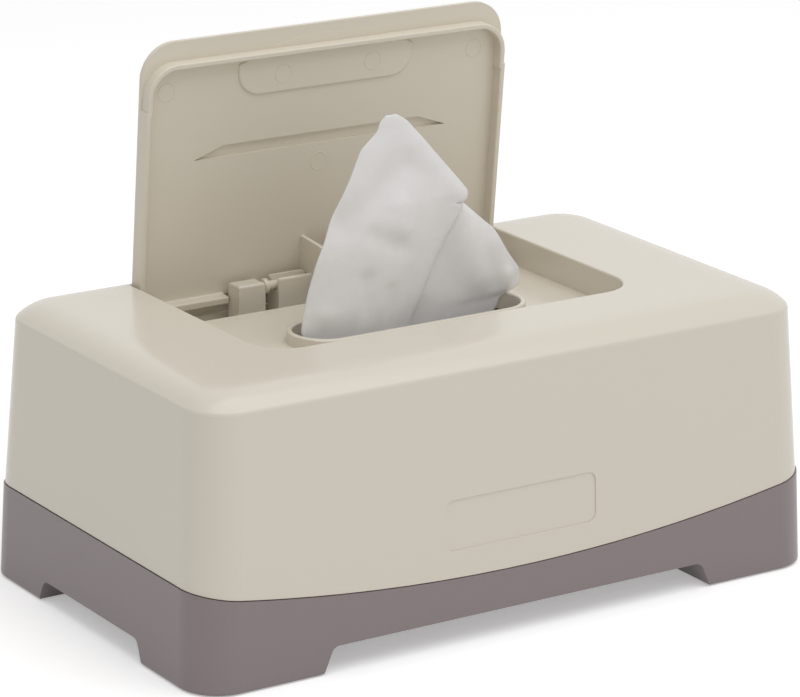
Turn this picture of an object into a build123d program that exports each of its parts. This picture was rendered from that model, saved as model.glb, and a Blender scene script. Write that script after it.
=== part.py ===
from build123d import *
import math
import os

os.makedirs("parts", exist_ok=True)

# Baby wipes box: a tray on four feet, a hood that lifts off it, a hinged lid in the hood's top,
# and a stack of wipes inside with one wipe standing up through the slot.
# Millimetres. X runs along the front, +Y is the back, +Z is up, and z = 0 is the table.

# Overall size
box_width = 230.0
box_depth = 136.8
box_height = 93.5

# Tray
tray_corner_radius = 13.5
tray_wall = 3.0
tray_floor = 2.2
tray_draft = 0.0375
seam_middle_height = 20.9
seam_end_height = 31.2
front_arch_height = 8.6
side_arch_height = 7.6
foot_wall = 2.4
foot_edge_round = 1.0
front_arch_half = 72.5
side_arch_half = 32.5
arch_slope = 0.45
arch_round = 3.0

# Grip pads under the feet
pad_length = 26.0
pad_width = 20.0
pad_corner_radius = 5.0
pad_thickness = 1.3
pad_recess = 1.0
pad_fit = 0.2

# Hood
seam_step = 0.4
seam_gap = 0.3
hood_wall = 1.9
hood_corner_radius = 13.3
hood_draft = 0.0577
hood_top_corner_radius = 5.0
shoulder_drop = 5.3
shoulder_run = 14.5
shoulder_power = 3.3
shoulder_steps = 5
shoulder_spacing = 0.75
crease_round = 1.5
tongue_height = 4.5
tongue_root = 4.0
tongue_thickness = 1.4
tongue_gap = 0.35

# Recess in the hood's top, with the hinge well along its back
recess_half_width = 68.7
recess_front_margin = 37.4
recess_depth = 10.1
recess_front_radius = 13.0
recess_back_radius = 3.0
recess_edge_round = 0.7
well_front_from_hinge = 11.4
well_depth = 21.0
well_ledge_depth = 14.9
well_ledge_width = 1.2

# Slot that the wipes come through, with its raised rim
slot_length = 82.2
slot_width = 20.6
slot_centre_y = -1.6
rim_wall = 1.8
rim_height = 3.9
rim_edge_round = 0.6

# Name plate field on the front, left bare
plate_length = 56.0
plate_height = 16.1
plate_corner_radius = 3.0
plate_depth = 0.4
plate_centre_height = 38.3

# Hinge
hinge_from_back = 20.9
hinge_height = 85.2
lid_open_angle = 84.8
rod_radius = 1.5
rod_clearance = 0.06
rod_end_chamfer = 0.4
cradle_clearance = 0.35
cradle_mouth = 4.2
block_inner = 24.3
block_outer = 34.2
block_top_above_rod = 2.0
block_front_of_rod = 2.7
block_back_of_rod = 4.0
block_round = 0.9
bore_end_wall = 1.5
rod_end_gap = 0.3
cradle_top_above_rod = 2.6
cradle_inner = 6.5
cradle_outer = 19.3

# Lid
lid_side_gap = 0.9
lid_seat_gap = 0.6
lid_thickness = 1.9
lid_front_radius = 11.5
lid_back_radius = 4.0
lid_back_behind_rod = 5.2
lid_back_edge_chamfer = 2.5
lid_edge_round = 0.5
lid_swing_clearance = 0.5
panel_trim = 0.3
skirt_depth = 3.9
skirt_thickness = 1.8
skirt_end_round = 0.5
skirt_inset = 0.45
skirt_front_gap = 0.4
skirt_corner_gap = 2.5
lip_overlap = 6.0
back_wall_thickness = 2.4
lip_side_length = 21.0
dish_half_width = 32.7
dish_depth = 0.8
dish_edge_round = 0.6
dish_lip_depth = 0.3
dish_back_from_edge = 21.1
dish_shoulder_from_edge = 10.4
dish_front_from_edge = 3.0
dish_round = 8.0
groove_length = 95.4
groove_flat_length = 74.0
groove_width = 3.9
groove_depth = 1.4
groove_from_edge = 40.5
arm_side_gap = 0.4
arm_wall = 1.5
arm_length = 12.6
arm_drop = 8.2
arm_corner_round = 2.5
arm_eye_radius = 3.6
tab_eye_radius = 2.5
tab_gap = 0.4
tab_thickness = 1.5
back_opening_gap = 0.6

# Wipes
stack_length = 196.0
stack_width = 104.0
stack_height = 48.0
stack_corner_radius = 5.0
stack_edge_round = 4.0
stack_floor_gap = 0.3
fold_edge_thickness = 1.2
fold_thickness = 3.2
front_fold_y = -3.0
front_fold_bow = 0.07
back_fold_left_y = -4.5
back_fold_right_y = 1.5
back_fold_bow = 0.03

# Sizes that follow from those above
hood_top = box_height - lid_thickness - lid_seat_gap
foot_bottom = pad_thickness - pad_recess
seam_top = seam_end_height + 1.0
tray_floor_top = front_arch_height + tray_floor
hood_low = seam_middle_height - 1.0
crease_height = hood_top - shoulder_drop
recess_floor = hood_top - recess_depth
well_floor = hood_top - well_depth
well_ledge = hood_top - well_ledge_depth
rim_top = recess_floor + rim_height
hinge_y = box_depth / 2 - hinge_from_back
recess_front = box_depth / 2 - recess_front_margin
well_front = hinge_y - well_front_from_hinge
rod_to_lid_top = box_height - hinge_height
panel_underside = rod_to_lid_top - lid_thickness
skirt_end = panel_underside - skirt_depth
lid_front_from_rod = hinge_y + recess_front + lip_overlap
lid_half_width = recess_half_width - lid_side_gap
lip_width = lip_overlap + skirt_front_gap
skirt_front_radius = recess_front_radius - skirt_corner_gap
chamfer_start = lid_back_behind_rod - lid_back_edge_chamfer
chamfer_end = rod_to_lid_top - lid_back_edge_chamfer
lid_swing_radius = max(
    math.hypot(chamfer_start, rod_to_lid_top), math.hypot(lid_back_behind_rod, chamfer_end)
)
recess_back = hinge_y + lid_swing_radius + lid_swing_clearance
recess_length = recess_front + recess_back
recess_centre_y = (recess_back - recess_front) / 2
tab_outer = block_inner - tab_gap
tab_inner = tab_outer - tab_thickness
arm_half_width = cradle_inner - arm_side_gap
back_opening = block_outer + back_opening_gap
arm_swing_radius = math.hypot(arm_length, arm_drop)
notch_front = hinge_y - arm_swing_radius - lid_swing_clearance
notch_floor = hinge_height - arm_drop - lid_swing_clearance
rod_half_length = block_outer - bore_end_wall - rod_end_gap
above_box = box_height + 20.0
below_table = -10.0


def tray_half_width(height):
    return box_width / 2 - tray_draft * height


def tray_half_depth(height):
    return box_depth / 2 - tray_draft * height


def hood_half_width(height):
    at_seam = tray_half_width(seam_end_height) - seam_step
    return at_seam - hood_draft * (height - seam_end_height)


def hood_half_depth(height):
    at_seam = tray_half_depth(seam_end_height) - seam_step
    return at_seam - hood_draft * (height - seam_end_height)


def tray_outline(height, inset=0.0):
    """The tray's rounded outline at a height, moved inwards by the inset."""
    return RectangleRounded(
        2 * (tray_half_width(height) - inset),
        2 * (tray_half_depth(height) - inset),
        tray_corner_radius - inset,
    )


def hood_outline(height, inset=0.0):
    """The hood's rounded outline at a height, moved inwards by the inset."""
    return RectangleRounded(
        2 * (hood_half_width(height) - inset),
        2 * (hood_half_depth(height) - inset),
        hood_corner_radius - inset,
    )


def shoulder_levels():
    """Points of the shoulder's curve, from the crease in to the flat top: drop, way in and radius."""
    levels = []
    for step in range(shoulder_steps + 1):
        share_out = (1 - step / shoulder_steps) ** shoulder_spacing
        drop = shoulder_drop * share_out**shoulder_power
        way_in = shoulder_run * (1 - share_out)
        radius = hood_top_corner_radius + share_out * (hood_corner_radius - hood_top_corner_radius)
        levels.append((drop, way_in, radius))
    return levels


def shoulder_outline(way_in, radius):
    """The rounded outline of one level of the shoulder, moved in from the crease."""
    return RectangleRounded(
        2 * (hood_half_width(crease_height) - way_in),
        2 * (hood_half_depth(crease_height) - way_in),
        radius,
    )


# The lid's planes: both have their origin on the hinge line. One has the lid's upper side as its
# normal, the other looks along X at the lid's side, with the lid's front at negative x.
open_turn = math.radians(lid_open_angle)
lid_plane = Plane(
    origin=(0, hinge_y, hinge_height),
    x_dir=(1, 0, 0),
    z_dir=(0, math.sin(open_turn), math.cos(open_turn)),
)
lid_side_plane = Plane(
    origin=(0, hinge_y, hinge_height),
    x_dir=(0, math.cos(open_turn), -math.sin(open_turn)),
    z_dir=(1, 0, 0),
)
hinge_side_plane = Plane(origin=(0, hinge_y, hinge_height), x_dir=(0, 1, 0), z_dir=(1, 0, 0))

# Everything below the arched seam: it shapes the tray's upper edge and the hood's lower edge
with BuildPart() as below_seam:
    with BuildSketch(Plane.XZ.offset(-box_depth)):
        with BuildLine():
            seam_arc = ThreePointArc(
                (-tray_half_width(seam_end_height), seam_end_height),
                (0, seam_middle_height),
                (tray_half_width(seam_end_height), seam_end_height),
            )
            Polyline(
                seam_arc @ 1,
                (box_width, seam_end_height),
                (box_width, below_table),
                (-box_width, below_table),
                (-box_width, seam_end_height),
                seam_arc @ 0,
            )
        make_face()
    extrude(amount=2 * box_depth)

# Locating tongue: a ring inside the hood's lower edge, rooted in the tray's wall
with BuildPart() as tongue:
    tongue_low = seam_middle_height - tongue_root - 1.0
    tongue_high = seam_end_height + tongue_height + 1.0
    tongue_inset = hood_wall + tongue_gap
    for height in (tongue_low, tongue_high):
        with BuildSketch(Plane.XY.offset(height)):
            hood_outline(height, tongue_inset)
    loft(ruled=True)
    for height in (tongue_low, tongue_high):
        with BuildSketch(Plane.XY.offset(height)):
            hood_outline(height, tongue_inset + tongue_thickness)
    loft(ruled=True, mode=Mode.SUBTRACT)
    with Locations((0, 0, tongue_height)):
        add(below_seam.part, mode=Mode.INTERSECT)
    with Locations((0, 0, -tongue_root)):
        add(below_seam.part, mode=Mode.SUBTRACT)

# Base tray
with BuildPart() as base_tray:
    for height in (foot_bottom, seam_top):
        with BuildSketch(Plane.XY.offset(height)):
            tray_outline(height)
    loft(ruled=True)
    # the arches between the feet, from front to back and from side to side
    for arch_plane, arch_half, arch_height, arch_run in (
        (Plane.XZ, front_arch_half, front_arch_height, box_depth),
        (Plane.YZ, side_arch_half, side_arch_height, box_width),
    ):
        with BuildSketch(arch_plane.offset(-arch_run)) as arch:
            with BuildLine():
                arch_top_half = arch_half - arch_slope * (arch_height - foot_bottom)
                arch_low_half = arch_half + arch_slope * (foot_bottom - below_table)
                Polyline(
                    (-arch_low_half, below_table),
                    (-arch_top_half, arch_height),
                    (arch_top_half, arch_height),
                    (arch_low_half, below_table),
                    close=True,
                )
            make_face()
            fillet(arch.vertices().group_by(Axis.Y)[-1], radius=arch_round)
        extrude(amount=2 * arch_run, mode=Mode.SUBTRACT)
    foot_faces = base_tray.faces().group_by(Axis.Z)[0]
    fillet(foot_faces.edges(), radius=foot_edge_round)
    add(below_seam.part, mode=Mode.INTERSECT)
    # the hollow that the wipes lie in
    for height in (tray_floor_top, seam_top):
        with BuildSketch(Plane.XY.offset(height)):
            tray_outline(height, tray_wall)
    loft(ruled=True, mode=Mode.SUBTRACT)
    # each foot is cored out from inside, and has a shallow seat for its pad below
    foot_outer_x = tray_half_width(0) - foot_wall - foot_edge_round
    foot_outer_y = tray_half_depth(0) - foot_wall - foot_edge_round
    foot_inner_x = front_arch_half + foot_wall
    foot_inner_y = side_arch_half + foot_wall
    core_bottom = foot_bottom + foot_wall
    with BuildSketch(Plane.XY.offset(core_bottom)):
        with GridLocations(foot_outer_x + foot_inner_x, foot_outer_y + foot_inner_y, 2, 2):
            RectangleRounded(
                foot_outer_x - foot_inner_x, foot_outer_y - foot_inner_y, tray_corner_radius / 2
            )
    extrude(amount=tray_floor_top - core_bottom, mode=Mode.SUBTRACT)
    with BuildSketch(Plane.XY.offset(foot_bottom)):
        with GridLocations(foot_outer_x + foot_inner_x, foot_outer_y + foot_inner_y, 2, 2):
            RectangleRounded(pad_length + 2 * pad_fit, pad_width + 2 * pad_fit, pad_corner_radius)
    extrude(amount=pad_recess, mode=Mode.SUBTRACT)
    add(tongue.part)
base_tray.part.label = "base_tray"
export_step(base_tray.part, "parts/base_tray.step")

# Grip pads, one under each foot
pad_x = (foot_outer_x + foot_inner_x) / 2
pad_y = (foot_outer_y + foot_inner_y) / 2
pad_places = {
    "front_left": (-pad_x, -pad_y),
    "front_right": (pad_x, -pad_y),
    "back_left": (-pad_x, pad_y),
    "back_right": (pad_x, pad_y),
}
for place, centre in pad_places.items():
    with BuildPart() as foot_pad:
        with BuildSketch():
            with Locations(centre):
                RectangleRounded(pad_length, pad_width, pad_corner_radius)
        extrude(amount=pad_thickness)
    foot_pad.part.label = "foot_pad_" + place
    export_step(foot_pad.part, "parts/foot_pad_" + place + ".step")

# The hood's inside: the space under its skin, less the dish that hangs down for the lid
with BuildPart() as hood_inside:
    for height in (hood_low - 1.0, crease_height - hood_wall):
        with BuildSketch(Plane.XY.offset(height)):
            hood_outline(height, hood_wall)
    loft(ruled=True)
    for drop, way_in, radius in shoulder_levels():
        with BuildSketch(Plane.XY.offset(hood_top - hood_wall - drop)):
            shoulder_outline(way_in + hood_wall, radius - hood_wall)
    loft()
    with BuildSketch(Plane.XY.offset(recess_floor - hood_wall)) as dish:
        with Locations((0, recess_centre_y)):
            Rectangle(2 * (recess_half_width + hood_wall), recess_length + 2 * hood_wall)
        fillet(dish.vertices().group_by(Axis.Y)[0], radius=recess_front_radius + hood_wall)
        fillet(dish.vertices().group_by(Axis.Y)[-1], radius=recess_back_radius + hood_wall)
    extrude(until=Until.LAST, mode=Mode.SUBTRACT)
    with BuildSketch(Plane.XY.offset(well_floor - hood_wall)) as well_dish:
        with Locations((0, (well_front + recess_back) / 2)):
            Rectangle(
                2 * (recess_half_width + hood_wall), recess_back - well_front + 2 * hood_wall
            )
        fillet(well_dish.vertices(), radius=recess_back_radius + hood_wall)
    extrude(amount=well_depth, mode=Mode.SUBTRACT)
    with BuildSketch(Plane.XY.offset(notch_floor - hood_wall)):
        with Locations((0, notch_front - hood_wall)):
            Rectangle(
                2 * (cradle_inner + hood_wall),
                well_front - notch_front,
                align=(Align.CENTER, Align.MIN),
            )
    extrude(amount=well_depth, mode=Mode.SUBTRACT)

# Hood
with BuildPart() as hood:
    for height in (hood_low, crease_height):
        with BuildSketch(Plane.XY.offset(height)):
            hood_outline(height)
    loft(ruled=True)
    # the shoulder falls from the flat top to a crease that runs all round
    for drop, way_in, radius in shoulder_levels():
        with BuildSketch(Plane.XY.offset(hood_top - drop)):
            shoulder_outline(way_in, radius)
    loft()
    crease = hood.edges().filter_by_position(Axis.Z, crease_height - 0.01, crease_height + 0.01)
    fillet(crease, radius=crease_round)
    add(hood_inside.part, mode=Mode.SUBTRACT)
    with Locations((0, 0, seam_gap)):
        add(below_seam.part, mode=Mode.SUBTRACT)
    # the recess that the lid closes into
    with BuildSketch(Plane.XY.offset(recess_floor)) as recess:
        with Locations((0, recess_centre_y)):
            Rectangle(2 * recess_half_width, recess_length)
        fillet(recess.vertices().group_by(Axis.Y)[0], radius=recess_front_radius)
        fillet(recess.vertices().group_by(Axis.Y)[-1], radius=recess_back_radius)
    extrude(amount=above_box - recess_floor, mode=Mode.SUBTRACT)
    recess_cut = hood.edges(Select.LAST)
    recess_brink = recess_cut.filter_by_position(Axis.Z, hood_top - hood_wall, hood_top)
    fillet(recess_brink, radius=recess_edge_round)
    # the hinge well, with a narrow ledge along its back wall
    for level, back in ((well_ledge, recess_back), (well_floor, recess_back - well_ledge_width)):
        with BuildSketch(Plane.XY.offset(level)):
            with Locations((0, (well_front + back) / 2)):
                RectangleRounded(2 * recess_half_width, back - well_front, recess_back_radius)
        extrude(amount=recess_floor - level + 0.5, mode=Mode.SUBTRACT)
    # a notch in the middle of the well's front edge, where the lid's arm swings through
    with BuildSketch(Plane.XY.offset(notch_floor)):
        with Locations((0, notch_front)):
            Rectangle(
                2 * cradle_inner, well_front - notch_front + 1.0, align=(Align.CENTER, Align.MIN)
            )
    extrude(amount=recess_floor - notch_floor + 0.5, mode=Mode.SUBTRACT)
    # the slot through the recess's floor, then the rim round it
    with BuildSketch(Plane.XY.offset(recess_floor - hood_wall)):
        with Locations((0, slot_centre_y)):
            SlotOverall(slot_length, slot_width)
    extrude(amount=hood_wall, mode=Mode.SUBTRACT)
    with BuildSketch(Plane.XY.offset(recess_floor - hood_wall)):
        with Locations((0, slot_centre_y)):
            SlotOverall(slot_length + 2 * rim_wall, slot_width + 2 * rim_wall)
            SlotOverall(slot_length, slot_width, mode=Mode.SUBTRACT)
    extrude(amount=hood_wall + rim_height)
    rim_face = hood.faces(Select.LAST).sort_by(Axis.Z)[-1]
    fillet(rim_face.edges(), radius=rim_edge_round)
    # hinge blocks with blind bores for the rod's ends and open cradles under it, in the well
    block_length = block_front_of_rod + block_back_of_rod
    block_y = hinge_y + (block_back_of_rod - block_front_of_rod) / 2
    block_top = hinge_height + block_top_above_rod
    cradle_top = hinge_height + cradle_top_above_rod
    for inner, outer, top in (
        (cradle_inner, cradle_outer, cradle_top),
        (block_inner, block_outer, block_top),
    ):
        for side in (-1, 1):
            with BuildSketch(Plane.XY.offset(well_floor)):
                with Locations((side * (inner + outer) / 2, block_y)):
                    Rectangle(outer - inner, block_length)
            extrude(amount=top - well_floor)
            fillet(hood.faces(Select.LAST).sort_by(Axis.Z)[-1].edges(), radius=block_round)
    for side in (-1, 1):
        bore_end = block_outer - bore_end_wall
        with BuildSketch(hinge_side_plane.offset(side * (cradle_outer + bore_end) / 2)):
            Circle(rod_radius + rod_clearance)
        extrude(amount=(bore_end - cradle_outer) / 2, both=True, mode=Mode.SUBTRACT)
        with BuildSketch(hinge_side_plane.offset(side * (cradle_inner + cradle_outer) / 2)):
            Circle(rod_radius + cradle_clearance)
            with BuildLine():
                Polyline(
                    (-rod_radius - cradle_clearance, 0),
                    (-cradle_mouth / 2, cradle_top_above_rod + 1.0),
                    (cradle_mouth / 2, cradle_top_above_rod + 1.0),
                    (rod_radius + cradle_clearance, 0),
                    close=True,
                )
            make_face()
        extrude(amount=(cradle_outer - cradle_inner) / 2 + 0.5, both=True, mode=Mode.SUBTRACT)
    # the bare name plate field, sunk into the sloping front
    front_slope = math.atan(hood_draft)
    plate_plane = Plane(
        origin=(0, -hood_half_depth(plate_centre_height), plate_centre_height),
        x_dir=(1, 0, 0),
        z_dir=(0, -math.cos(front_slope), math.sin(front_slope)),
    )
    with BuildSketch(plate_plane):
        RectangleRounded(plate_length, plate_height, plate_corner_radius)
    extrude(amount=-plate_depth, mode=Mode.SUBTRACT)
hood.part.label = "hood"
export_step(hood.part, "parts/hood.step")

# Lid: a panel with a skirt set back from its free edge. It is made on the lid's own planes, so it
# stands open. Its tabs and arm hang on the hinge rod between the hood's blocks and cradles.


def skirt_outline(inset=0.0, back_inset=0.0):
    """The skirt's outline, flush with the panel's sides at the back and set in at the front."""
    back = lid_back_behind_rod - back_inset
    side_front = lid_front_from_rod - lip_side_length - inset
    nose_front = lid_front_from_rod - lip_width - inset
    with BuildSketch(mode=Mode.PRIVATE) as outline:
        with Locations((0, (back - side_front) / 2)):
            Rectangle(2 * (lid_half_width - inset), back + side_front)
        fillet(outline.vertices().group_by(Axis.Y)[-1], radius=max(lid_back_radius - inset, 0.5))
        with BuildSketch(mode=Mode.PRIVATE) as nose:
            with Locations((0, -nose_front / 2)):
                Rectangle(2 * (lid_half_width - skirt_inset - inset), nose_front)
            fillet(nose.vertices().group_by(Axis.Y)[0], radius=skirt_front_radius - inset)
        add(nose.sketch)
    return outline.sketch


def dish_outline():
    """The finger dish: a straight back edge with round corners and a bowed front edge."""
    back = dish_back_from_edge - lid_front_from_rod
    shoulder = dish_shoulder_from_edge - lid_front_from_rod
    front = dish_front_from_edge - lid_front_from_rod
    with BuildSketch(mode=Mode.PRIVATE) as outline:
        with BuildLine():
            Polyline(
                (-dish_half_width, shoulder),
                (-dish_half_width, back),
                (dish_half_width, back),
                (dish_half_width, shoulder),
            )
            ThreePointArc((-dish_half_width, shoulder), (0, front), (dish_half_width, shoulder))
        make_face()
        fillet(outline.vertices().group_by(Axis.Y)[-1], radius=dish_round)
    return outline.sketch


# The finger dish where it stands out below the panel: shallower under the lip than inside the skirt
with BuildPart() as dish_back:
    with BuildSketch(lid_plane.offset(panel_underside - dish_depth)):
        add(dish_outline())
    extrude(amount=dish_depth + 0.2)
    dish_face = dish_back.faces().sort_by(Axis(lid_plane.origin, lid_plane.z_dir))[0]
    fillet(dish_face.edges(), radius=dish_edge_round)
    with BuildSketch(lid_plane.offset(panel_underside - dish_lip_depth)):
        with Locations((0, skirt_thickness / 2 + lip_width - lid_front_from_rod)):
            Rectangle(box_width, box_depth, align=(Align.CENTER, Align.MAX))
    extrude(amount=-dish_depth, mode=Mode.SUBTRACT)

with BuildPart() as lid:
    with BuildSketch(lid_plane.offset(panel_underside)) as panel:
        with Locations((0, (lid_back_behind_rod - lid_front_from_rod) / 2)):
            Rectangle(2 * lid_half_width, lid_front_from_rod + lid_back_behind_rod)
        fillet(panel.vertices().group_by(Axis.Y)[0], radius=lid_front_radius)
        fillet(panel.vertices().group_by(Axis.Y)[-1], radius=lid_back_radius)
    extrude(amount=lid_thickness)
    lid_top_face = lid.faces().sort_by(Axis(lid_plane.origin, lid_plane.z_dir))[-1]
    fillet(lid_top_face.edges(), radius=lid_edge_round)
    # the skirt
    with BuildSketch(lid_plane.offset(skirt_end)):
        add(skirt_outline())
        add(skirt_outline(skirt_thickness, back_wall_thickness), mode=Mode.SUBTRACT)
    extrude(amount=panel_underside - skirt_end)
    # the back edge is chamfered outside, and thickened inside to keep its wall
    back_wall_inside = lid_back_behind_rod - back_wall_thickness
    corner_fill = lid_back_edge_chamfer - lid_thickness
    with BuildSketch(lid_side_plane.offset(-lid_half_width)):
        with BuildLine():
            Polyline(
                (back_wall_inside - corner_fill, panel_underside),
                (back_wall_inside, panel_underside),
                (back_wall_inside, panel_underside - corner_fill),
            )
            RadiusArc(
                (back_wall_inside, panel_underside - corner_fill),
                (back_wall_inside - corner_fill, panel_underside),
                -corner_fill,
            )
        make_face()
    extrude(amount=2 * lid_half_width)
    with BuildSketch(lid_side_plane):
        with BuildLine():
            Polyline(
                (lid_back_behind_rod + 1.0, chamfer_end - 1.0),
                (lid_back_behind_rod + 1.0, rod_to_lid_top + 1.0),
                (chamfer_start - 1.0, rod_to_lid_top + 1.0),
                close=True,
            )
        make_face()
    extrude(amount=box_width, both=True, mode=Mode.SUBTRACT)
    skirt_end_face = lid.faces().sort_by(Axis(lid_plane.origin, lid_plane.z_dir))[0]
    fillet(skirt_end_face.edges(), radius=skirt_end_round)
    # the finger dish, sunk into the top and standing out below by as much
    add(dish_back.part)
    with BuildSketch(lid_plane.offset(rod_to_lid_top - dish_depth)):
        add(dish_outline())
    extrude(amount=dish_depth + 1.0, mode=Mode.SUBTRACT)
    # a shallow groove across the panel's inside, tapered at both ends
    with BuildSketch(lid_plane.offset(panel_underside + groove_depth)):
        groove_low = groove_from_edge - lid_front_from_rod
        groove_high = groove_low - groove_width
        with BuildLine():
            Polyline(
                (-groove_length / 2, groove_low),
                (groove_length / 2, groove_low),
                (groove_flat_length / 2, groove_high),
                (-groove_flat_length / 2, groove_high),
                close=True,
            )
        make_face()
    extrude(amount=-groove_depth - 0.5, mode=Mode.SUBTRACT)
    # the back wall is open where the hood's blocks and cradles stand, and the panel trimmed
    with BuildSketch(lid_plane.offset(skirt_end)):
        with Locations((0, back_wall_inside - corner_fill)):
            Rectangle(2 * back_opening, lid_back_edge_chamfer + 1.0, align=(Align.CENTER, Align.MIN))
    extrude(amount=panel_underside - skirt_end, mode=Mode.SUBTRACT)
    with BuildSketch(lid_plane.offset(panel_underside)):
        with Locations((0, back_wall_inside + panel_trim)):
            Rectangle(2 * back_opening, lid_back_edge_chamfer, align=(Align.CENTER, Align.MIN))
    extrude(amount=lid_thickness, mode=Mode.SUBTRACT)
    # tabs round the rod, one between each block and its cradle
    for side in (-1, 1):
        with BuildSketch(lid_side_plane.offset(side * (tab_inner + tab_outer) / 2)):
            Circle(tab_eye_radius)
            Rectangle(tab_eye_radius, panel_underside + 0.2, align=(Align.MIN, Align.MIN))
        extrude(amount=tab_thickness / 2, both=True)
    # the stop arm in the middle: a box that hangs round the rod and is open at its front end
    with BuildSketch(lid_side_plane) as arm_side:
        with Locations((-arm_length, panel_underside + 0.2)):
            Rectangle(
                arm_length, panel_underside + 0.2 + arm_drop, align=(Align.MIN, Align.MAX)
            )
        fillet(arm_side.vertices().group_by(Axis.Y)[0], radius=arm_corner_round)
        Circle(arm_eye_radius)
        Rectangle(2 * arm_eye_radius, panel_underside + 0.2, align=(Align.CENTER, Align.MIN))
    extrude(amount=arm_half_width, both=True)
    with BuildSketch(lid_side_plane) as arm_hollow:
        with Locations((-arm_length - 1.0, panel_underside)):
            Rectangle(
                arm_length + 1.0 - arm_eye_radius,
                panel_underside + arm_drop - arm_wall,
                align=(Align.MIN, Align.MAX),
            )
    extrude(amount=arm_half_width - arm_wall, both=True, mode=Mode.SUBTRACT)
    # the bore for the rod, through both tabs and the arm
    with BuildSketch(lid_side_plane):
        Circle(rod_radius)
    extrude(amount=block_inner, both=True, mode=Mode.SUBTRACT)
lid.part.label = "lid"
export_step(lid.part, "parts/lid.step")

# Hinge rod: held in the lid's tabs and arm, and turning in the hood's blocks
with BuildPart() as hinge_rod:
    with BuildSketch(hinge_side_plane):
        Circle(rod_radius)
    extrude(amount=rod_half_length, both=True)
    chamfer(hinge_rod.edges().filter_by(GeomType.CIRCLE), length=rod_end_chamfer)
hinge_rod.part.label = "hinge_rod"
export_step(hinge_rod.part, "parts/hinge_rod.step")

# Stack of folded wipes, lying in the tray
stack_low = tray_floor_top + stack_floor_gap
with BuildPart() as wipes_stack:
    with BuildSketch(Plane.XY.offset(stack_low)):
        RectangleRounded(stack_length, stack_width, stack_corner_radius)
    extrude(amount=stack_height)
    fillet(wipes_stack.faces().filter_by(Axis.Z).edges(), radius=stack_edge_round)
wipes_stack.part.label = "wipes_stack"
export_step(wipes_stack.part, "parts/wipes_stack.step")


def draw_fold(left, right, left_y, right_y, bow_share):
    """Draw one level of a hanging fold: a thin crescent that bows forwards between its two ends."""
    half_edge = fold_edge_thickness / 2
    middle = (left + right) / 2
    middle_y = (left_y + right_y) / 2 - bow_share * (right - left)
    front = ThreePointArc(
        (left, left_y - half_edge),
        (middle, middle_y - fold_thickness / 2),
        (right, right_y - half_edge),
    )
    back = ThreePointArc(
        (left, left_y + half_edge),
        (middle, middle_y + fold_thickness / 2),
        (right, right_y + half_edge),
    )
    Line(front @ 0, back @ 0)
    Line(front @ 1, back @ 1)


# The wipe that stands up through the slot: a tall front fold, and a lower fold behind its right side
# Each level has its height above the recess's floor, then its left and right ends.
front_fold_levels = (
    (-7.9, -33.0, 3.1),
    (3.0, -38.0, 4.8),
    (11.9, -36.2, 9.7),
    (22.8, -33.3, 14.5),
    (34.7, -27.9, 21.7),
    (40.7, -24.9, 24.1),
    (49.6, -20.7, 16.3),
    (59.5, -15.9, 7.7),
    (66.1, -9.0, 1.4),
    (68.9, -6.4, -2.5),
)
back_fold_levels = (
    (-6.2, 34.0),
    (4.6, 38.1),
    (7.4, 45.6),
    (11.7, 45.0),
    (17.7, 39.8),
    (26.7, 34.6),
    (39.6, 24.3),
)
back_fold_left = -8.0
with BuildPart() as pulled_wipe:
    for level, left, right in front_fold_levels:
        with BuildSketch(Plane.XY.offset(recess_floor + level)):
            with BuildLine():
                draw_fold(left, right, front_fold_y, front_fold_y, front_fold_bow)
            make_face()
    loft(ruled=True)
    for level, right in back_fold_levels:
        with BuildSketch(Plane.XY.offset(recess_floor + level)):
            with BuildLine():
                draw_fold(
                    back_fold_left, right, back_fold_left_y, back_fold_right_y, back_fold_bow
                )
            make_face()
    loft(ruled=True)
pulled_wipe.part.label = "pulled_wipe"
export_step(pulled_wipe.part, "parts/pulled_wipe.step")
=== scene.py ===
"""A baby wipes box with its lid open, a wipe pulled up through the slot, and the studio it stands in."""

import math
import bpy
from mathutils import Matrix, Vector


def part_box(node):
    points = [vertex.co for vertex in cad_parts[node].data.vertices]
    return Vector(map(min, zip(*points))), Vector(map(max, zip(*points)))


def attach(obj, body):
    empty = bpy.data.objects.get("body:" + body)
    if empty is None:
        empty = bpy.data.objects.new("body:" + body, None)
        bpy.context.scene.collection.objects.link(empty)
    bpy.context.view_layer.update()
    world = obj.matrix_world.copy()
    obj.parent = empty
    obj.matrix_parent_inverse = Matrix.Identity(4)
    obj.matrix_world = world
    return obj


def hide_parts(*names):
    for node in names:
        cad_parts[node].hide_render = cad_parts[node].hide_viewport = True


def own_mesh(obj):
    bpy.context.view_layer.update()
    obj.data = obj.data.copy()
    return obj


bl_info = {
    "name": "Baby Wipes Box",
    "version": (1, 0, 0),
    "blender": (4, 5, 0),
    "location": "View3D > Sidebar > Wipes Box",
    "description": "Finishes a moulded baby wipes box, its wipes and a plain studio",
    "category": "Object",
}

import bmesh
import bpy
from bpy.props import FloatProperty, FloatVectorProperty, IntProperty, PointerProperty
from mathutils import Matrix, Vector, noise

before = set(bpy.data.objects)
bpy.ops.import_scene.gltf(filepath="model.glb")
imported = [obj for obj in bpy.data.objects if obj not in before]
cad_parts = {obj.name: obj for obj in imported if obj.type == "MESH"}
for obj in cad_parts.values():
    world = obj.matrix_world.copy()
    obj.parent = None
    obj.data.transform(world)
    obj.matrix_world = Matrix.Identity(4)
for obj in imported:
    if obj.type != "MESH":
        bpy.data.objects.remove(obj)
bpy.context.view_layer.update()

MM = 0.001
IMAGE_WIDTH = 800


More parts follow.
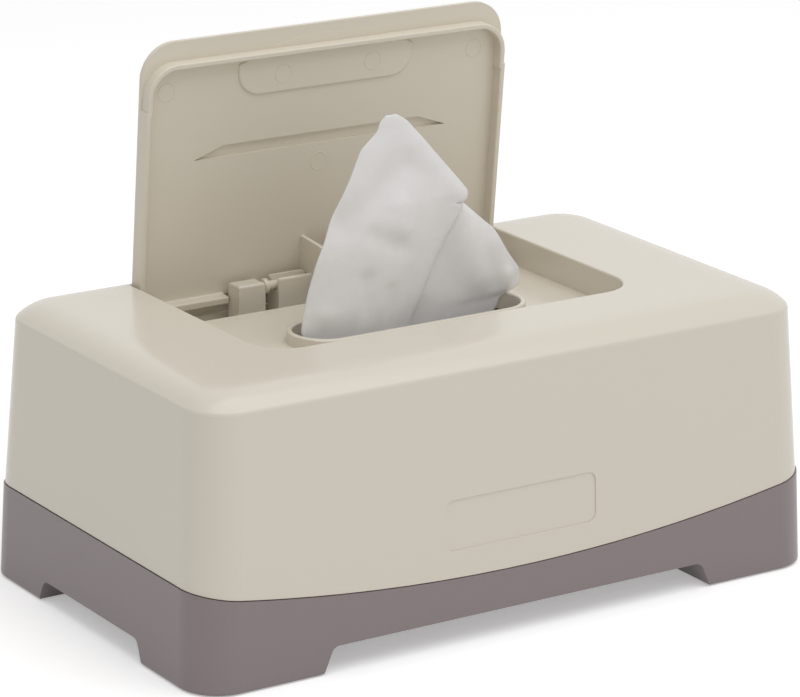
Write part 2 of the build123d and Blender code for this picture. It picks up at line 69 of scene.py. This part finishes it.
def srgb(hex_code, alpha=1.0):
    """Turn an sRGB hex colour into linear red, green, blue and alpha."""
    channels = [int(hex_code[i : i + 2], 16) / 255 for i in (1, 3, 5)]
    linear = [c / 12.92 if c <= 0.04045 else ((c + 0.055) / 1.055) ** 2.4 for c in channels]
    return (*linear, alpha)


# Settings that a user would change


class WipesBoxFinish(bpy.types.PropertyGroup):
    hood_colour: FloatVectorProperty(
        name="Hood",
        description="Colour of the hood's plastic",
        subtype="COLOR",
        size=4,
        min=0.0,
        max=1.0,
        default=srgb("#DCD5C7"),
    )
    lid_colour: FloatVectorProperty(
        name="Lid",
        description="Colour of the lid's plastic",
        subtype="COLOR",
        size=4,
        min=0.0,
        max=1.0,
        default=srgb("#DDD5C5"),
    )
    tray_colour: FloatVectorProperty(
        name="Tray",
        description="Colour of the tray's plastic",
        subtype="COLOR",
        size=4,
        min=0.0,
        max=1.0,
        default=srgb("#897D7E"),
    )
    pad_colour: FloatVectorProperty(
        name="Grip Pads",
        description="Colour of the rubber pads under the feet",
        subtype="COLOR",
        size=4,
        min=0.0,
        max=1.0,
        default=srgb("#5C5656"),
    )
    wipe_colour: FloatVectorProperty(
        name="Wipes",
        description="Colour of the wipes",
        subtype="COLOR",
        size=4,
        min=0.0,
        max=1.0,
        default=srgb("#E9E7E6"),
    )


class WipesBoxWipe(bpy.types.PropertyGroup):
    tail_height: FloatProperty(
        name="Tail Height",
        description="Height of the lowest edge of the pulled wipe",
        default=73.5 * MM,
        unit="LENGTH",
    )
    tip_height: FloatProperty(
        name="Tip Height",
        description="Height of the tip of the pulled wipe",
        default=151.0 * MM,
        unit="LENGTH",
    )
    thickness: FloatProperty(
        name="Thickness",
        description="Thickness of one wipe",
        default=0.5 * MM,
        unit="LENGTH",
    )
    rows: IntProperty(name="Rows", description="Rows of the cloth mesh", default=90, min=10)
    columns: IntProperty(
        name="Columns", description="Columns of the cloth mesh", default=130, min=10
    )
    stack_layers: IntProperty(
        name="Stack Layers", description="Folded wipes that show in the stack", default=30, min=2
    )


class WipesBoxStudio(bpy.types.PropertyGroup):
    camera_place: FloatVectorProperty(
        name="Camera",
        description="Place of the camera",
        subtype="TRANSLATION",
        unit="LENGTH",
        default=(-0.667158, -1.01397, 0.449075),
    )
    camera_turn: FloatProperty(
        name="Turn", description="Camera's turn to the right", default=0.5808, unit="ROTATION"
    )
    camera_tilt: FloatProperty(
        name="Tilt", description="Camera's tilt down", default=0.3005, unit="ROTATION"
    )
    camera_roll: FloatProperty(
        name="Roll", description="Camera's roll", default=0.0101, unit="ROTATION"
    )
    focal_length_pixels: FloatProperty(
        name="Focal Length",
        description="Focal length in pixels of the picture",
        default=4007.17,
        subtype="PIXEL",
    )
    sky_strength: FloatProperty(
        name="Sky", description="Light from all round", default=0.5, min=0.0
    )
    key_power: FloatProperty(
        name="Key Light", description="Power of the large lamp overhead", default=12.0, unit="POWER"
    )
    fill_power: FloatProperty(
        name="Front Light", description="Power of the lamp in front", default=1.2, unit="POWER"
    )


# Node and mesh helpers


def add_node(tree, node_type, inputs=None, links=None, **settings):
    """Add one node with its settings, the values of its inputs, and the sockets that feed it."""
    node = tree.nodes.new(node_type)
    for name, value in settings.items():
        setattr(node, name, value)
    for name, value in (inputs or {}).items():
        node.inputs[name].default_value = value
    for name, socket in (links or {}).items():
        tree.links.new(socket, node.inputs[name])
    return node


def start_material(name):
    """Make a material with an empty node tree and return both."""
    material = bpy.data.materials.new(name)
    material.use_nodes = True
    material.node_tree.nodes.clear()
    return material, material.node_tree


def object_coordinates(tree):
    """Position on the object in metres."""
    return add_node(tree, "ShaderNodeTexCoord").outputs["Object"]


def scale_for(size_mm):
    """Noise scale that gives features of this size in millimetres."""
    return 1.0 / (size_mm * MM)


def seen_directly(tree):
    """One for rays that see a surface directly, mirrored or through something clear, else zero."""
    ray = add_node(tree, "ShaderNodeLightPath")
    seen = ray.outputs["Is Camera Ray"]
    for kind in ("Is Glossy Ray", "Is Transmission Ray"):
        either = add_node(
            tree, "ShaderNodeMath", operation="MAXIMUM", links={0: seen, 1: ray.outputs[kind]}
        )
        seen = either.outputs["Value"]
    return seen


def give_material(node_name, material):
    """Put one material in every slot of a CAD node."""
    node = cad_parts[node_name]
    for slot in node.material_slots:
        slot.material = material


def link_object(name, mesh):
    piece = bpy.data.objects.new(name, mesh)
    bpy.context.scene.collection.objects.link(piece)
    return piece


# Materials


def moulded_polypropylene(name, colour, roughness, grain_depth):
    """Polypropylene from a polished mould: an even colour with a soft gloss.

    Faint flow clouds change the gloss over a few centimetres, and a fine orange-peel
    grain softens the reflections.
    """
    flow_size = 60.0
    grain_size = 0.55
    material, tree = start_material(name)
    place = object_coordinates(tree)
    flow = add_node(
        tree,
        "ShaderNodeTexNoise",
        inputs={"Scale": scale_for(flow_size), "Detail": 3.0, "Roughness": 0.5},
        links={"Vector": place},
    )
    gloss = add_node(
        tree,
        "ShaderNodeMapRange",
        inputs={"To Min": roughness - 0.03, "To Max": roughness + 0.03},
        links={"Value": flow.outputs["Fac"]},
    )
    grain = add_node(
        tree,
        "ShaderNodeTexNoise",
        inputs={"Scale": scale_for(grain_size), "Detail": 2.0},
        links={"Vector": place},
    )
    bump = add_node(
        tree,
        "ShaderNodeBump",
        inputs={"Strength": 0.35, "Distance": grain_depth * MM},
        links={"Height": grain.outputs["Fac"]},
    )
    shader = add_node(
        tree,
        "ShaderNodeBsdfPrincipled",
        inputs={"Base Color": colour, "IOR": 1.49},
        links={
            "Roughness": gloss.outputs["Result"],
            "Normal": bump.outputs["Normal"],
        },
    )
    add_node(tree, "ShaderNodeOutputMaterial", links={"Surface": shader.outputs["BSDF"]})
    return material


def moulded_rubber(name, colour):
    """Thermoplastic rubber from an etched mould: dark, matt and slightly grainy."""
    grain_size = 0.8
    material, tree = start_material(name)
    grain = add_node(
        tree,
        "ShaderNodeTexNoise",
        inputs={"Scale": scale_for(grain_size), "Detail": 4.0},
        links={"Vector": object_coordinates(tree)},
    )
    bump = add_node(
        tree,
        "ShaderNodeBump",
        inputs={"Strength": 0.6, "Distance": 0.08 * MM},
        links={"Height": grain.outputs["Fac"]},
    )
    shader = add_node(
        tree,
        "ShaderNodeBsdfPrincipled",
        inputs={"Base Color": colour, "Roughness": 0.78, "IOR": 1.5},
        links={"Normal": bump.outputs["Normal"]},
    )
    add_node(tree, "ShaderNodeOutputMaterial", links={"Surface": shader.outputs["BSDF"]})
    return material


def spunlace_nonwoven(name, colour):
    """Water-jet bonded viscose, damp: a soft white cloth with a cloudy web of fibres.

    The fibres are far finer than a pixel, so the web is drawn at a millimetre or more.
    """
    cloud_size = 6.0
    fibre_size = 0.9
    material, tree = start_material(name)
    place = object_coordinates(tree)
    cloud = add_node(
        tree,
        "ShaderNodeTexNoise",
        inputs={"Scale": scale_for(cloud_size), "Detail": 4.0, "Roughness": 0.6},
        links={"Vector": place},
    )
    tint = add_node(
        tree,
        "ShaderNodeMapRange",
        inputs={"From Min": 0.3, "From Max": 0.7, "To Min": 0.96, "To Max": 1.0},
        links={"Value": cloud.outputs["Fac"]},
    )
    shade = add_node(
        tree,
        "ShaderNodeMix",
        data_type="RGBA",
        blend_type="MULTIPLY",
        inputs={"Factor": 1.0, "A": colour},
        links={"B": tint.outputs["Result"]},
    )
    fibres = add_node(
        tree,
        "ShaderNodeTexNoise",
        inputs={"Scale": scale_for(fibre_size), "Detail": 5.0, "Roughness": 0.7},
        links={"Vector": place},
    )
    bump = add_node(
        tree,
        "ShaderNodeBump",
        inputs={"Strength": 0.4, "Distance": 0.15 * MM},
        links={"Height": fibres.outputs["Fac"]},
    )
    shader = add_node(
        tree,
        "ShaderNodeBsdfPrincipled",
        inputs={
            "Roughness": 0.85,
            "IOR": 1.45,
            "Sheen Weight": 0.25,
            "Sheen Roughness": 0.5,
            "Subsurface Weight": 0.25,
            "Subsurface Radius": (1.0, 1.0, 1.0),
            "Subsurface Scale": 1.5 * MM,
        },
        links={"Base Color": shade.outputs["Result"], "Normal": bump.outputs["Normal"]},
    )
    add_node(tree, "ShaderNodeOutputMaterial", links={"Surface": shader.outputs["BSDF"]})
    return material


# The box's moulded parts


class WIPESBOX_OT_tray(bpy.types.Operator):
    """Finish the tray and the grip pads under its feet"""

    bl_idname = "wipes_box.tray"
    bl_label = "Tray and Pads"

    def execute(self, context):
        finish = context.scene.wipes_box_finish
        tray_plastic = moulded_polypropylene(
            "polypropylene_mauve", finish.tray_colour, roughness=0.34, grain_depth=0.02
        )
        rubber = moulded_rubber("rubber_etched", finish.pad_colour)
        give_material("base_tray", tray_plastic)
        for node_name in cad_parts:
            if node_name.startswith("foot_pad"):
                give_material(node_name, rubber)
        return {"FINISHED"}


class WIPESBOX_OT_hood(bpy.types.Operator):
    """Finish the hood"""

    bl_idname = "wipes_box.hood"
    bl_label = "Hood"

    def execute(self, context):
        finish = context.scene.wipes_box_finish
        hood_plastic = moulded_polypropylene(
            "polypropylene_cream_gloss", finish.hood_colour, roughness=0.22, grain_depth=0.015
        )
        give_material("hood", hood_plastic)
        return {"FINISHED"}


class WIPESBOX_OT_lid(bpy.types.Operator):
    """Finish the lid and its hinge rod"""

    bl_idname = "wipes_box.lid"
    bl_label = "Lid and Hinge"

    def execute(self, context):
        finish = context.scene.wipes_box_finish
        lid_plastic = moulded_polypropylene(
            "polypropylene_cream_satin", finish.lid_colour, roughness=0.42, grain_depth=0.02
        )
        give_material("lid", lid_plastic)
        give_material("hinge_rod", lid_plastic)
        return {"FINISHED"}


# Ejector marks on the lid's inside, in millimetres: place across, distance from the lid's free edge,
# and how far the finger dish lifts the surface there
EJECTOR_MARKS = (
    (-16.3, 15.1, 0.8),
    (17.4, 14.9, 0.8),
    (57.2, 15.6, 0.0),
    (-58.7, 16.4, 0.0),
    (-0.8, 46.8, 0.0),
)
# The open lid, in millimetres: its length from the hinge line, and the height of its inside above it
LID_LENGTH = 84.5
LID_INSIDE = 6.4
LID_OPEN_ANGLE = math.radians(84.8)


class WIPESBOX_OT_ejector_marks(bpy.types.Operator):
    """Model the faint rings that ejector pins left on the lid's inside"""

    bl_idname = "wipes_box.ejector_marks"
    bl_label = "Ejector Marks"

    def execute(self, context):
        ring_radius, ring_half_width, ring_height, sunk = 3.0, 0.22, 0.1, 0.05
        inner, outer = ring_radius - ring_half_width, ring_radius + ring_half_width
        crown = ring_half_width / 2
        segments = 48
        along = Vector((0, -math.cos(LID_OPEN_ANGLE), math.sin(LID_OPEN_ANGLE)))
        outward = Vector((0, math.sin(LID_OPEN_ANGLE), math.cos(LID_OPEN_ANGLE)))
        rod_low, rod_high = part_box("hinge_rod")
        hinge = (rod_low + rod_high) / 2 / MM
        builder = bmesh.new()
        for across, from_edge, lift in EJECTOR_MARKS:
            centre = hinge + along * (LID_LENGTH - from_edge) + outward * (LID_INSIDE - lift)
            rings = []
            for radius, height in (
                (inner, -sunk),
                (ring_radius - crown, ring_height),
                (ring_radius + crown, ring_height),
                (outer, -sunk),
            ):
                ring = []
                for i in range(segments):
                    angle = 2 * math.pi * i / segments
                    place = (
                        centre
                        + Vector((across + radius * math.cos(angle), 0, 0))
                        + along * (radius * math.sin(angle))
                        - outward * height
                    )
                    ring.append(builder.verts.new(place * MM))
                rings.append(ring)
            for ring, next_ring in zip(rings, rings[1:] + rings[:1]):
                for i in range(segments):
                    j = (i + 1) % segments
                    corners = (ring[i], next_ring[i], next_ring[j], ring[j])
                    builder.faces.new(corners).smooth = True
        bmesh.ops.recalc_face_normals(builder, faces=builder.faces)
        mesh = bpy.data.meshes.new("ejector_marks")
        builder.to_mesh(mesh)
        builder.free()
        marks = link_object("ejector_marks", mesh)
        mesh.materials.append(bpy.data.materials["polypropylene_cream_satin"])
        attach(marks, "lid")
        return {"FINISHED"}


# The wipes

# Outline of the pulled wipe as seen from the front, in millimetres: height, left edge, fold or
# right edge of the front flap, and right edge of the part behind it
WIPE_LEVELS = (
    (73.0, -36.5, -3.0, 33.0),
    (84.6, -40.2, 1.4, 38.8),
    (85.8, -40.5, 2.0, 44.8),
    (87.7, -40.2, 2.9, 46.2),
    (92.5, -39.2, 5.2, 45.4),
    (98.3, -37.8, 8.1, 40.8),
    (107.1, -35.2, 12.8, 34.9),
    (116.7, -30.7, 18.6, 23.4),
    (119.0, -29.7, 19.8, 19.8),
    (122.8, -27.8, 20.8, 20.8),
    (131.7, -23.4, 13.1, 13.1),
    (141.0, -18.8, 4.7, 4.7),
    (146.2, -12.6, 0.0, 0.0),
    (148.6, -12.1, -2.2, -2.2),
    (151.0, -9.5, -6.5, -6.5),
)
# Soft folds across the front flap, in millimetres: start and end in x and z, half width, and how far
# the cloth stands forward along the fold
WIPE_CREASES = (
    ((-24.4, 118.1), (-4.6, 133.7), 5.5, -1.7),
    ((-15.5, 113.6), (-4.3, 108.1), 3.5, -1.0),
    ((-5.9, 122.0), (-5.8, 115.5), 3.5, 1.0),
    ((-17.9, 99.4), (-17.8, 81.4), 3.0, -1.2),
    ((-9.4, 94.8), (-9.2, 85.0), 2.4, -0.7),
    ((-33.0, 90.0), (-31.0, 81.0), 3.5, 0.7),
    ((2.0, 140.0), (17.5, 122.0), 4.0, 0.8),
    ((20.0, 112.0), (29.0, 91.0), 6.0, 1.2),
    ((34.6, 103.0), (39.0, 89.0), 3.5, 0.9),
    ((40.5, 91.0), (39.5, 86.0), 2.2, 1.0),
)


def smooth_step(a, b, x):
    t = min(max((x - a) / (b - a), 0.0), 1.0)
    return t * t * (3 - 2 * t)


def level_at(height):
    """The wipe's left edge, fold and right edge at a height, in millimetres."""
    levels = WIPE_LEVELS
    for low, high in zip(levels, levels[1:]):
        if height <= high[0] or high is levels[-1]:
            share = (height - low[0]) / (high[0] - low[0])
            return [a + (b - a) * share for a, b in zip(low[1:], high[1:])]


def distance_to_line(x, z, start, end):
    """Distance from a point to a line's stretch, in millimetres."""
    along = Vector(end) - Vector(start)
    away = Vector((x, z)) - Vector(start)
    share = min(max(away.dot(along) / along.length_squared, 0.0), 1.0)
    return (away - along * share).length


def crease_offset(x, z):
    """How far the soft folds move the cloth towards the front, in millimetres."""
    offset = 0.0
    for start, end, half_width, forward in WIPE_CREASES:
        offset += forward * math.exp(-((distance_to_line(x, z, start, end) / half_width) ** 2))
    return offset


def wipe_row(height, count):
    """One level of the pulled wipe as evenly spaced points, in millimetres."""
    left, fold, right = level_at(height)
    front_y, gap, round_over = -3.0, 1.3, 2.2
    bow, bow_width = 3.0, 45
    least_folded = 0.05
    width = fold - left
    folded = right - fold
    path = []
    steps = 24
    for i in range(steps + 1):
        share = i / steps
        x = left + width * share
        y = front_y - bow * (width / bow_width) * math.sin(math.pi * share) ** 0.9
        path.append(Vector((x, y)))
    if folded > least_folded:
        reach = min(4.5, folded * 0.2)
        turn = min(round_over, folded * 0.2)
        path[-1] = Vector((fold, front_y + 0.3))
        path.append(Vector((fold - turn * 0.2, front_y + gap)))
        path.append(Vector((fold - reach, front_y + gap + 0.4)))
        path.append(Vector((fold - reach - 0.3, front_y + 2 * gap)))
        for i in range(1, steps + 1):
            share = i / steps
            x = fold - reach + (folded + reach) * share
            y = front_y + 2 * gap + 3.2 * share - 1.2 * math.sin(math.pi * share)
            path.append(Vector((x, y)))
    lengths = [0.0]
    for a, b in zip(path, path[1:]):
        lengths.append(lengths[-1] + (b - a).length)
    row = []
    segment = 0
    for i in range(count):
        target = lengths[-1] * i / (count - 1)
        while segment < len(path) - 2 and lengths[segment + 1] < target:
            segment += 1
        span = lengths[segment + 1] - lengths[segment]
        share = (target - lengths[segment]) / span if span else 0.0
        row.append((path[segment].lerp(path[segment + 1], share), target))
    return row


class WIPESBOX_OT_pulled_wipe(bpy.types.Operator):
    """Model the wipe that stands up through the slot"""

    bl_idname = "wipes_box.pulled_wipe"
    bl_label = "Pulled Wipe"

    def execute(self, context):
        wipe = context.scene.wipes_box_wipe
        finish = context.scene.wipes_box_finish
        low, high = wipe.tail_height / MM, wipe.tip_height / MM
        builder = bmesh.new()
        flat = builder.loops.layers.uv.new("flat")
        rows = []
        for i in range(wipe.rows):
            height = low + (high - low) * i / (wipe.rows - 1)
            row = []
            for place, along in wipe_row(height, wipe.columns):
                free = smooth_step(84.0, 92.0, height)
                y = place.y - crease_offset(place.x, height) * (0.25 + 0.75 * free)
                ripple = noise.noise(Vector((place.x / 14, height / 18, 3.7)))
                y -= 0.9 * ripple * free
                row.append((builder.verts.new((place.x * MM, y * MM, height * MM)), along, height))
            rows.append(row)
        for lower, upper in zip(rows, rows[1:]):
            for a, b, c, d in zip(lower, lower[1:], upper[1:], upper):
                face = builder.faces.new((a[0], b[0], c[0], d[0]))
                face.smooth = True
                for loop, corner in zip(face.loops, (a, b, c, d)):
                    loop[flat].uv = (corner[1] * MM, corner[2] * MM)
        flat_area = sum(face.calc_area() for face in builder.faces)
        mesh = bpy.data.meshes.new("pulled_wipe_cloth")
        builder.to_mesh(mesh)
        builder.free()
        cloth = link_object("pulled_wipe_cloth", mesh)
        settle = cloth.modifiers.new("settle", "SMOOTH")
        settle.iterations = 2
        thicken = cloth.modifiers.new("thickness", "SOLIDIFY")
        thicken.thickness = wipe.thickness
        thicken.offset = 0.0
        mesh.materials.append(spunlace_nonwoven("viscose_spunlace", finish.wipe_colour))
        for modifier in list(cloth.modifiers):
            with context.temp_override(object=cloth, active_object=cloth):
                bpy.ops.object.modifier_apply(modifier=modifier.name)
        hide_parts("pulled_wipe")
        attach(cloth, "hood")
        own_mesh(cloth)
        return {"FINISHED"}


class WIPESBOX_OT_stack(bpy.types.Operator):
    """Model the folded wipes that lie in the tray"""

    bl_idname = "wipes_box.stack"
    bl_label = "Stack of Wipes"

    def execute(self, context):
        finish = context.scene.wipes_box_finish
        layers = context.scene.wipes_box_wipe.stack_layers
        low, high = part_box("wipes_stack")
        centre = (low + high) / 2
        half_x, half_y = (high.x - low.x) / 2, (high.y - low.y) / 2
        layer_height = (high.z - low.z) / layers
        corner, steps = 4.0 * MM, 6
        wander_reach, room_to_wander = 1.4 * MM, 1.6 * MM
        layer_fill = 0.97
        reach_x = half_x - room_to_wander
        reach_y = half_y - room_to_wander
        builder = bmesh.new()
        for layer in range(layers):
            wander = Vector(
                (
                    noise.noise(Vector((layer * 1.7, 0.3, 5.1))),
                    noise.noise(Vector((layer * 2.3, 9.3, 1.1))),
                    0,
                )
            ) * wander_reach
            outline = []
            for quarter, (sx, sy) in enumerate(((1, 1), (-1, 1), (-1, -1), (1, -1))):
                for i in range(steps + 1):
                    angle = math.pi / 2 * (quarter + i / steps)
                    outline.append(
                        (
                            sx * (reach_x - corner) + corner * math.cos(angle),
                            sy * (reach_y - corner) + corner * math.sin(angle),
                        )
                    )
            floor = low.z + layer * layer_height
            rings = []
            for rise, inset in ((0.0, 0.45), (0.22, 0.1), (0.5, 0.0), (0.78, 0.1), (1.0, 0.45)):
                ring = []
                for x, y in outline:
                    shrink = 1 - inset * layer_height / half_y
                    ring.append(
                        builder.verts.new(
                            (
                                centre.x + wander.x + x * shrink,
                                centre.y + wander.y + y * shrink,
                                floor + rise * layer_height * layer_fill,
                            )
                        )
                    )
                rings.append(ring)
            for lower, upper in zip(rings, rings[1:]):
                for i in range(len(lower)):
                    j = (i + 1) % len(lower)
                    builder.faces.new((lower[i], lower[j], upper[j], upper[i])).smooth = True
            builder.faces.new(rings[-1])
            builder.faces.new(list(reversed(rings[0])))
        mesh = bpy.data.meshes.new("folded_wipes")
        builder.to_mesh(mesh)
        builder.free()
        stack = link_object("folded_wipes", mesh)
        mesh.materials.append(spunlace_nonwoven("viscose_spunlace_stack", finish.wipe_colour))
        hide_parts("wipes_stack")
        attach(stack, "tray")
        return {"FINISHED"}


# The studio


class WIPESBOX_OT_studio(bpy.types.Operator):
    """Set up the floor, the lights and the camera"""

    bl_idname = "wipes_box.studio"
    bl_label = "Studio"

    def execute(self, context):
        studio = context.scene.wipes_box_studio
        self.make_floor()
        self.make_sky(context, studio)
        self.make_lamps(studio)
        self.make_camera(context, studio)
        context.scene.view_settings.view_transform = "Standard"
        return {"FINISHED"}

    def make_floor(self):
        size = 30.0
        builder = bmesh.new()
        bmesh.ops.create_grid(builder, x_segments=1, y_segments=1, size=size / 2)
        mesh = bpy.data.meshes.new("floor")
        builder.to_mesh(mesh)
        builder.free()
        floor = link_object("floor", mesh)
        material, tree = start_material("painted_sweep_white")
        paint = add_node(tree, "ShaderNodeBsdfDiffuse", inputs={"Color": srgb("#F4F4F4")})
        lift = add_node(tree, "ShaderNodeEmission", inputs={"Strength": 0.34})
        both = add_node(
            tree,
            "ShaderNodeAddShader",
            links={0: paint.outputs["BSDF"], 1: lift.outputs["Emission"]},
        )
        mixed = add_node(
            tree,
            "ShaderNodeMixShader",
            links={
                0: seen_directly(tree),
                1: paint.outputs["BSDF"],
                2: both.outputs["Shader"],
            },
        )
        add_node(tree, "ShaderNodeOutputMaterial", links={"Surface": mixed.outputs["Shader"]})
        mesh.materials.append(material)

    def make_sky(self, context, studio):
        world = bpy.data.worlds.new("soft_white_room")
        context.scene.world = world
        world.use_nodes = True
        tree = world.node_tree
        tree.nodes.clear()
        light = add_node(
            tree,
            "ShaderNodeBackground",
            inputs={"Color": srgb("#FFFFFF"), "Strength": studio.sky_strength},
        )
        white = add_node(
            tree, "ShaderNodeBackground", inputs={"Color": srgb("#FFFFFF"), "Strength": 1.0}
        )
        mixed = add_node(
            tree,
            "ShaderNodeMixShader",
            links={
                0: seen_directly(tree),
                1: light.outputs["Background"],
                2: white.outputs["Background"],
            },
        )
        add_node(tree, "ShaderNodeOutputWorld", links={"Surface": mixed.outputs["Shader"]})

    def make_lamps(self, studio):
        aim = Vector((0, 0, 0.06))
        lamps = (
            ("key_softbox", (0.1, -0.45, 1.5), 1.6, studio.key_power),
            ("front_softbox", (0.5, -1.7, 0.7), 1.2, studio.fill_power),
        )
        for name, place, size, power in lamps:
            lamp_data = bpy.data.lights.new(name, "AREA")
            lamp_data.shape = "SQUARE"
            lamp_data.size = size
            lamp_data.energy = power
            lamp = bpy.data.objects.new(name, lamp_data)
            lamp.location = place
            lamp.rotation_euler = (aim - Vector(place)).to_track_quat("-Z", "Y").to_euler()
            bpy.context.scene.collection.objects.link(lamp)

    def make_camera(self, context, studio):
        camera_data = bpy.data.cameras.new("camera")
        camera_data.sensor_width = 36.0
        camera_data.lens = studio.focal_length_pixels / IMAGE_WIDTH * camera_data.sensor_width
        camera_data.clip_end = 50.0
        camera = bpy.data.objects.new("camera", camera_data)
        turn = Matrix.Rotation(-studio.camera_turn, 4, "Z")
        tilt = Matrix.Rotation(math.pi / 2 - studio.camera_tilt, 4, "X")
        roll = Matrix.Rotation(studio.camera_roll, 4, "Z")
        camera.matrix_world = Matrix.Translation(studio.camera_place) @ turn @ tilt @ roll
        context.scene.collection.objects.link(camera)
        context.scene.camera = camera


class WIPESBOX_PT_panel(bpy.types.Panel):
    """Steps and settings of the baby wipes box"""

    bl_label = "Wipes Box"
    bl_idname = "WIPESBOX_PT_panel"
    bl_space_type = "VIEW_3D"
    bl_region_type = "UI"
    bl_category = "Wipes Box"

    def draw(self, context):
        layout = self.layout
        for operator in OPERATORS:
            layout.operator(operator.bl_idname)
        for group in (
            context.scene.wipes_box_finish,
            context.scene.wipes_box_wipe,
            context.scene.wipes_box_studio,
        ):
            box = layout.box()
            for name in group.__annotations__:
                box.prop(group, name)


OPERATORS = (
    WIPESBOX_OT_tray,
    WIPESBOX_OT_hood,
    WIPESBOX_OT_lid,
    WIPESBOX_OT_ejector_marks,
    WIPESBOX_OT_stack,
    WIPESBOX_OT_pulled_wipe,
    WIPESBOX_OT_studio,
)
GROUPS = {
    "wipes_box_finish": WipesBoxFinish,
    "wipes_box_wipe": WipesBoxWipe,
    "wipes_box_studio": WipesBoxStudio,
}


def register():
    for cls in (*GROUPS.values(), *OPERATORS, WIPESBOX_PT_panel):
        bpy.utils.register_class(cls)
    for name, group in GROUPS.items():
        setattr(bpy.types.Scene, name, PointerProperty(type=group))


def unregister():
    for name in GROUPS:
        delattr(bpy.types.Scene, name)
    for cls in reversed((*GROUPS.values(), *OPERATORS, WIPESBOX_PT_panel)):
        bpy.utils.unregister_class(cls)


def main():
    register()
    bpy.ops.wipes_box.tray()
    bpy.ops.wipes_box.hood()
    bpy.ops.wipes_box.lid()
    bpy.ops.wipes_box.ejector_marks()
    bpy.ops.wipes_box.stack()
    bpy.ops.wipes_box.pulled_wipe()
    bpy.ops.wipes_box.studio()


if __name__ == "__main__":
    main()
